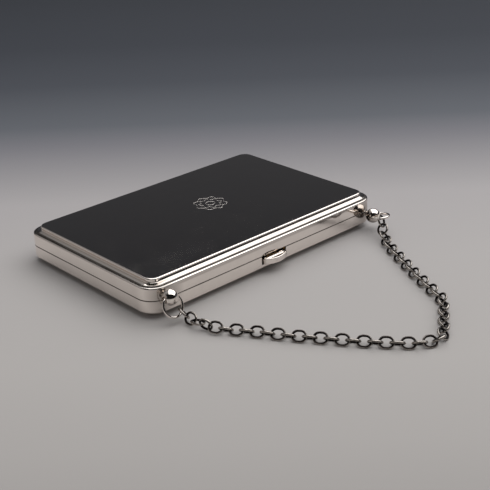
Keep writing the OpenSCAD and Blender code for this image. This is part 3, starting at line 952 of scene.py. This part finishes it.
# The chain's route: share of the half length, distance in front of the case and height in mm, where it isn't flat
ROUTE = (
    (-0.85, 6.7, 2.2), (-0.848, 8.7, 2), (-0.846, 11.2, 1.9), (-0.838, 14.2, 2.15), (-0.808, 17.2, 1.7),
    (-0.77, 19.5), (-0.736, 21.8), (-0.673, 26.5), (-0.576, 34.2), (-0.467, 41.9), (-0.361, 49.3),
    (-0.285, 54.1), (-0.211, 58.5), (-0.165, 60.8), (-0.12, 62.6), (-0.075, 63.8), (-0.028, 64.3),
    (0.022, 63.8), (0.074, 62.3), (0.125, 60.4), (0.226, 56.7), (0.322, 53.1), (0.361, 51.2),
    (0.388, 48.8), (0.409, 46.6), (0.513, 36.2), (0.628, 26), (0.733, 16.8, 1.38), (0.804, 12.1, 2.2),
    (0.848, 9.5, 4),
)
# Turns of the links about the chain in degrees: twisted in the first links, by turns in most, steep in the last
FIRST_ROLLS, LINK_ROLL, LAST_ROLL = (-45, 57, -10, 104), 38, 50
# Degrees round each ring at which the chain's ends hang on it
LEFT_HOLD, RIGHT_HOLD = 44, 128
# Play of an end link on its ring, and of two links in each other
RING_PLAY, LINK_PLAY = 0.25 * MM, 0.16 * MM


def chain_points(case, size):
    """The points of the chain's route, from where it hangs on the left ring to where it hangs on the right one."""
    lie = (size.link_width / 2 - size.link_wire) * math.sin(math.radians(LINK_ROLL)) + size.link_wire
    holds = []
    for centre, turn, angle in ((LEFT_BALL, LEFT_TURN, LEFT_HOLD), (RIGHT_BALL, RIGHT_TURN, RIGHT_HOLD)):
        a = math.radians(angle)
        on_ring = Vector((size.ring * math.cos(a), -size.ring * math.sin(a), 0))
        holds.append(ring_place(size, centre, turn) @ on_ring)
    points = [holds[0]]
    for point in ROUTE:
        height = point[2] * MM if len(point) > 2 else lie
        points.append(Vector((point[0] * case.length / 2, -case.width / 2 - point[1] * MM, height)))
    points.append(holds[1])
    return points


def chain_places(case, size):
    """Where each link lies: a matrix for each, along the route at even spacing, rolled to one side and the other."""
    points = chain_points(case, size)
    runs = [0.0]
    for a, b in zip(points, points[1:]):
        runs.append(runs[-1] + (b - a).length)
    total = runs[-1]

    def along(s):
        s = min(max(s, 0), total)
        i = max(k for k in range(len(points) - 1) if runs[k] <= s)
        return points[i].lerp(points[i + 1], (s - runs[i]) / (runs[i + 1] - runs[i]))

    reach = size.link_length / 2 - 2 * size.link_wire
    end = reach - size.ring_wire - RING_PLAY
    count = math.ceil((total - 2 * end) / (2 * reach - LINK_PLAY)) + 1
    pitch = (total - 2 * end) / (count - 1)
    places = []
    for i in range(count):
        s = end + i * pitch
        way = along(s + pitch / 2) - along(s - pitch / 2)
        heading, climb = math.atan2(way.y, way.x), math.asin(way.z / way.length)
        roll = (1 if i % 2 == 0 else -1) * (LAST_ROLL if i == count - 1 else LINK_ROLL)
        if i < len(FIRST_ROLLS):
            roll = FIRST_ROLLS[i]
        stand = Matrix.Rotation(heading, 4, "Z") @ Matrix.Rotation(-climb, 4, "Y")
        places.append(Matrix.Translation(along(s)) @ stand @ Matrix.Rotation(math.radians(roll), 4, "X"))
    return places


def make_link(size):
    """One link: a ring of wire pulled long, with how much of it rubs on other things kept as an attribute."""
    middle, half = size.link_width / 2 - size.link_wire, (size.link_length - size.link_width) / 2
    deselect()
    bpy.ops.mesh.primitive_torus_add(
        major_radius=middle, minor_radius=size.link_wire, major_segments=44, minor_segments=14)
    link = bpy.context.object
    for side in (-1, 1):
        edit("FACE")
        pick_faces(lambda c, n: c.x * side > 0)
        bpy.ops.mesh.select_less(use_face_step=False)
        bpy.ops.transform.translate(value=(side * half, 0, 0))
    bpy.ops.object.mode_set(mode="OBJECT")
    # From 0 on the inside of the bend to 1 on its outside, which rubs most
    rubbed = link.data.attributes.new("rubbed", "FLOAT", "POINT")
    for vertex, value in zip(link.data.vertices, rubbed.data):
        x, y = vertex.co.x, vertex.co.y
        x = math.copysign(max(abs(x) - half, 0), x)
        value.value = (math.hypot(x, y) - middle) / size.link_wire / 2 + 0.5
    return link


class CARDCASE_OT_chain(bpy.types.Operator):
    """Builds the chain link by link along its route"""

    bl_idname = "cardcase.chain"
    bl_label = "Chain"

    def execute(self, context):
        case, size = context.scene.card_case_sizes, context.scene.card_case_fittings
        places = chain_places(case, size)
        nodes = sorted(n for n in frame["nodes"] if n.startswith("chain_links_"))
        metals = ("oxidised_silver_wire",)
        pattern = make_link(size)
        for k, node in enumerate(nodes):
            # The nodes share the links as evenly as whole links allow
            first, last = k * len(places) // len(nodes), (k + 1) * len(places) // len(nodes)
            links = []
            for matrix in places[first:last]:
                link = pattern.copy()
                link.data = pattern.data.copy()
                context.collection.objects.link(link)
                place(link, matrix)
                links.append(link)
            links = join(node, links)
            finish(links, f"wire_links_{k + 1:02d}", "chain", [node], metals, angle=60, flats=False)
        bpy.data.objects.remove(pattern, do_unlink=True)
        return {"FINISHED"}


# The pieces that are hidden when the case is closed


class CARDCASE_OT_inner(bpy.types.Operator):
    """Gives the bezel and the pieces of the catch their metals"""

    bl_idname = "cardcase.inner"
    bl_label = "Bezel and catch"

    def execute(self, context):
        metals = {
            "bezel": "gilt_wash_on_silver",
            "catch_cover": "gilt_wash_on_silver",
            "lid_keeper": "gilt_wash_on_silver",
            "spring_rivets": "burnished_cast_silver",
            "catch_spring": "tempered_spring_steel",
            "catch_hook": "tempered_spring_steel",
        }
        for node, name in metals.items():
            piece = frame["nodes"][node]
            piece.data.materials.clear()
            piece.data.materials.append(metal(name))
        return {"FINISHED"}


# The stage


# The level direction in which the camera looks, and the one to its right
VIEW = Vector((0.6694, 0.7429, 0.0))
ACROSS = Vector((VIEW.y, -VIEW.x, 0))
# The camera, as fitted to the photograph's lines: its place in mm, its axes and its lens in mm on a 36 mm frame
CAMERA_AT = Vector((-199.49, -240.42, 141.47)) * MM
CAMERA_BACK = Vector((-0.6081, -0.67483, 0.41812))
CAMERA_RIGHT = Vector((0.73111, -0.68129, -0.03628))
CAMERA_LENS, CAMERA_FRAME = 76.63, 36.0


def make_floor(look):
    """The paper that the case lies on."""
    deselect()
    bpy.ops.mesh.primitive_plane_add(size=6, location=(0, 0, 0))
    floor = bpy.context.object
    floor.name = "floor"
    floor.data.materials.append(sweep_paper("matt_paper_sweep", look))


def sweep_paper(name, look):
    """Matt grey paper: no shine, a fine grain, and a fall-off into shade behind the case."""
    material, tree = new_material(name)
    at = add(tree, "ShaderNodeTexCoord").outputs["Object"]
    away = add(tree, "ShaderNodeVectorMath", {0: at, 1: VIEW}, operation="DOT_PRODUCT").outputs["Value"]
    far = add(tree, "ShaderNodeMapRange", {"Value": away, "From Min": -0.15, "From Max": 0.45})
    shade = add(tree, "ShaderNodeValToRGB", {0: far})
    # Painted shade: the paper is a little darker towards the camera, and falls off into dark grey beyond the case
    fade(shade, (
        (0.0, linear("A39F9C")), (0.06, linear("AEAAA7")), (0.12, linear("B3AFAC")), (0.22, look.floor),
        (0.31, linear("ABA7A7")), (0.415, linear("7A797E")), (0.46, linear("606369")), (0.57, linear("474A51")),
        (0.7, linear("3A3D44")), (1.0, linear("2F3238")),
    ))
    grain = add(tree, "ShaderNodeTexNoise", {"Vector": at, "Scale": 1 / (0.8 * MM), "Detail": 3.0})
    surface = add(tree, "ShaderNodeBump", {"Height": grain, "Strength": 0.3, "Distance": 0.00002})
    shader = add(tree, "ShaderNodeBsdfPrincipled", {
        "Base Color": shade, "Roughness": 0.85, "Specular IOR Level": 0.2, "Normal": surface})
    add(tree, "ShaderNodeOutputMaterial", {"Surface": shader})
    return material


def make_light():
    """Soft light from a wide box overhead, beyond the case and to its right."""
    middle = VIEW * 0.85 + ACROSS
    bpy.ops.object.light_add(type="AREA", location=(middle.x, middle.y, 1.25))
    box = bpy.context.object
    box.name = "overhead_softbox"
    box.data.shape = "RECTANGLE"
    box.data.size, box.data.size_y = 2.9, 2.7
    box.data.energy = 40.5
    box.rotation_euler = (0, 0, math.atan2(VIEW.y, VIEW.x))


def make_surroundings(scene):
    """Dim surroundings that metal shows, and an even fill for everything else."""
    world = scene.world or bpy.data.worlds.new("dim_studio")
    scene.world = world
    world.use_nodes = True
    tree = world.node_tree
    tree.nodes.clear()
    way = add(tree, "ShaderNodeTexCoord").outputs["Generated"]
    rise = add(tree, "ShaderNodeSeparateXYZ", {0: way}).outputs[2]
    # A room that is dark low down, pale above, and nearly black behind the camera
    room = add(tree, "ShaderNodeValToRGB", {0: rise})
    fade(room, (
        (0.0, linear("444549")), (0.33, linear("393A3D")), (0.46, linear("27282B")), (0.53, linear("757474")),
        (0.6, linear("807F7F")), (0.9, linear("A0A0A0")),
    ))
    ahead = add(tree, "ShaderNodeVectorMath", {0: way, 1: VIEW}, operation="DOT_PRODUCT").outputs["Value"]
    near = add(tree, "ShaderNodeMapRange", {"Value": ahead, "From Min": -0.35, "From Max": 0.25})
    sides = add(tree, "ShaderNodeMix", {
        "Factor": near, 6: linear("141414"), 7: room}, data_type="RGBA").outputs[2]
    # A pale board stands low at the left
    leftward = add(tree, "ShaderNodeVectorMath", {
        0: way, 1: -ACROSS}, operation="DOT_PRODUCT").outputs["Value"]
    beside = add(tree, "ShaderNodeMapRange", {"Value": leftward, "From Min": 0.55, "From Max": 0.85})
    low_down = add(tree, "ShaderNodeMapRange", {
        "Value": rise, "From Min": 0.45, "From Max": 0.6, "To Min": 1.0, "To Max": 0.0})
    board = add(tree, "ShaderNodeMath", {0: beside, 1: low_down}, operation="MULTIPLY")
    sides = add(tree, "ShaderNodeMix", {
        "Factor": board, 6: sides, 7: linear("8A8684")}, data_type="RGBA").outputs[2]
    seen = add(tree, "ShaderNodeBackground", {"Color": sides, "Strength": 1.0})
    fill = add(tree, "ShaderNodeBackground", {"Color": linear("EAEAEC"), "Strength": 0.365})
    path = add(tree, "ShaderNodeLightPath").outputs
    shown = strongest(tree, [path["Is Camera Ray"], path["Is Glossy Ray"], path["Is Transmission Ray"]])
    both = add(tree, "ShaderNodeMixShader", {0: shown, 1: fill, 2: seen})
    add(tree, "ShaderNodeOutputWorld", {"Surface": both})


def make_camera(scene):
    """The camera at the photograph's viewing angle."""
    bpy.ops.object.camera_add()
    camera = bpy.context.object
    camera.name = "photo_camera"
    camera.data.lens, camera.data.sensor_width = CAMERA_LENS, CAMERA_FRAME
    camera.data.clip_start, camera.data.clip_end = 0.01, 20
    back = CAMERA_BACK.normalized()
    right = (CAMERA_RIGHT - back * CAMERA_RIGHT.dot(back)).normalized()
    turn = Matrix((right, back.cross(right), back)).transposed().to_4x4()
    camera.matrix_world = Matrix.Translation(CAMERA_AT) @ turn
    scene.camera = camera


class CARDCASE_OT_stage(bpy.types.Operator):
    """Builds the floor, the soft light overhead, the surroundings and the camera"""

    bl_idname = "cardcase.stage"
    bl_label = "Stage"

    def execute(self, context):
        context.scene.view_settings.view_transform = "Standard"
        make_floor(context.scene.card_case_finishes)
        make_light()
        make_surroundings(context.scene)
        make_camera(context.scene)
        return {"FINISHED"}


# The panel and the order of the steps


class CARDCASE_PT_panel(bpy.types.Panel):
    """Lists the sizes, the colours and the steps of the card case"""

    bl_idname = "CARDCASE_PT_panel"
    bl_label = "Card case"
    bl_space_type = "VIEW_3D"
    bl_region_type = "UI"
    bl_category = "Card case"

    def draw(self, context):
        scene = context.scene
        for group in (scene.card_case_sizes, scene.card_case_fittings, scene.card_case_finishes):
            box = self.layout.box()
            for name in group.bl_rna.properties.keys():
                if name not in ("rna_type", "name"):
                    box.prop(group, name)
        for step in STEPS:
            self.layout.operator(step.bl_idname)


GROUPS = (
    ("card_case_sizes", CaseSizes),
    ("card_case_fittings", FittingSizes),
    ("card_case_finishes", Finishes),
)
STEPS = (
    CARDCASE_OT_stage, CARDCASE_OT_lid, CARDCASE_OT_base, CARDCASE_OT_hinge, CARDCASE_OT_thumb,
    CARDCASE_OT_balls, CARDCASE_OT_rings, CARDCASE_OT_chain, CARDCASE_OT_inner,
)


def register():
    for name, group in GROUPS:
        bpy.utils.register_class(group)
        setattr(bpy.types.Scene, name, PointerProperty(type=group))
    for step in STEPS:
        bpy.utils.register_class(step)
    bpy.utils.register_class(CARDCASE_PT_panel)


def unregister():
    bpy.utils.unregister_class(CARDCASE_PT_panel)
    for step in reversed(STEPS):
        bpy.utils.unregister_class(step)
    for name, group in reversed(GROUPS):
        delattr(bpy.types.Scene, name)
        bpy.utils.unregister_class(group)


def main():
    register()
    bpy.ops.cardcase.stage()
    bpy.ops.cardcase.lid()
    bpy.ops.cardcase.base()
    bpy.ops.cardcase.hinge()
    bpy.ops.cardcase.thumb()
    bpy.ops.cardcase.balls()
    bpy.ops.cardcase.rings()
    bpy.ops.cardcase.chain()
    bpy.ops.cardcase.inner()


if __name__ == "__main__":
    main()
